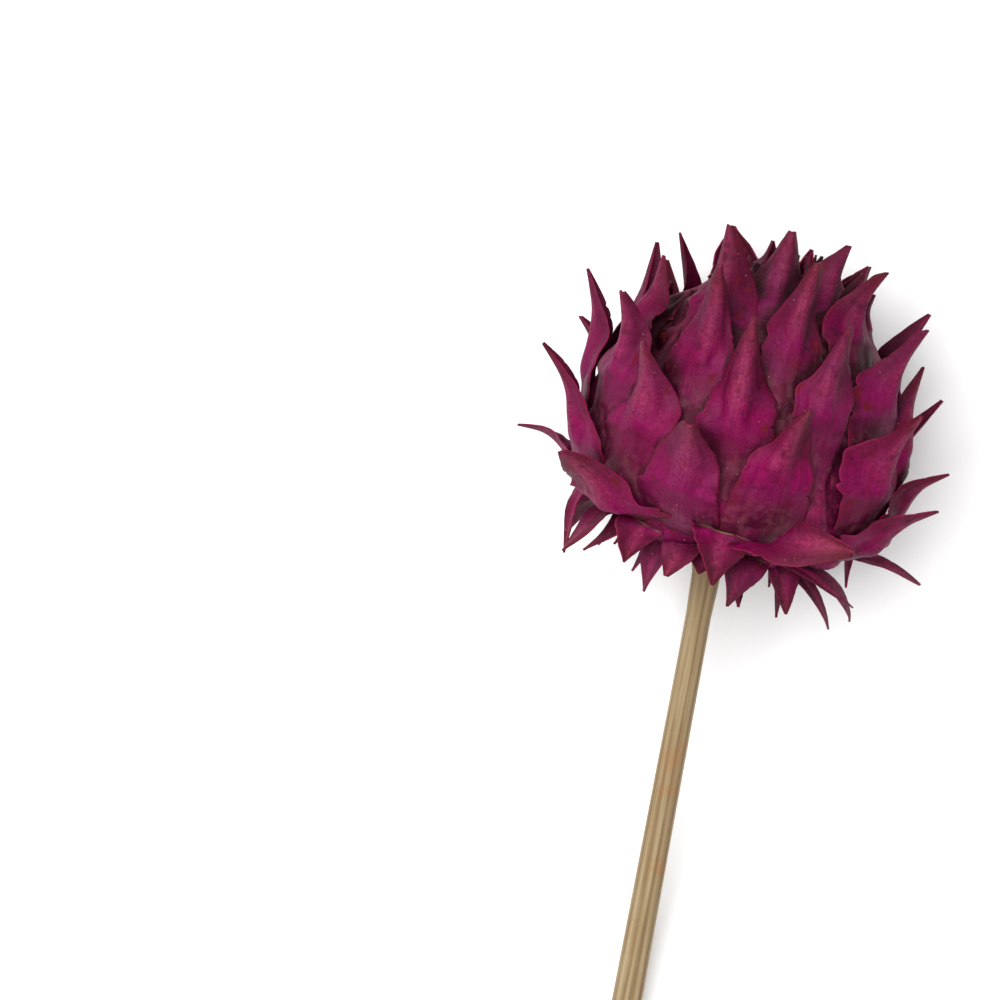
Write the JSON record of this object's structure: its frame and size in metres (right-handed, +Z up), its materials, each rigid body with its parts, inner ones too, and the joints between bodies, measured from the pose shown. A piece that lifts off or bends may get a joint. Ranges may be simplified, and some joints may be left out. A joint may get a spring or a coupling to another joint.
{
  "type": "dried artichoke head",
  "caption": "Dried, magenta-dyed artichoke head with overlapping pointed bracts, on a length of its bleached cut stem, lying on its side.",
  "frame": {"origin": "on the surface the part lies on, under the middle of its bounding box", "axes": "+Z is up. +Y runs from the stem's cut end to the head. +X is to the right, seen from above with the head at the top."},
  "size_m": [0.1179, 0.2383, 0.1044],
  "materials": {
    "bract": "dyed dry bract, soft satin",
    "stem": "bleached dry stem, matt"
  },
  "bodies": {
    "root": {"head": "bract", "stem": "stem"}
  },
  "joints": []
}
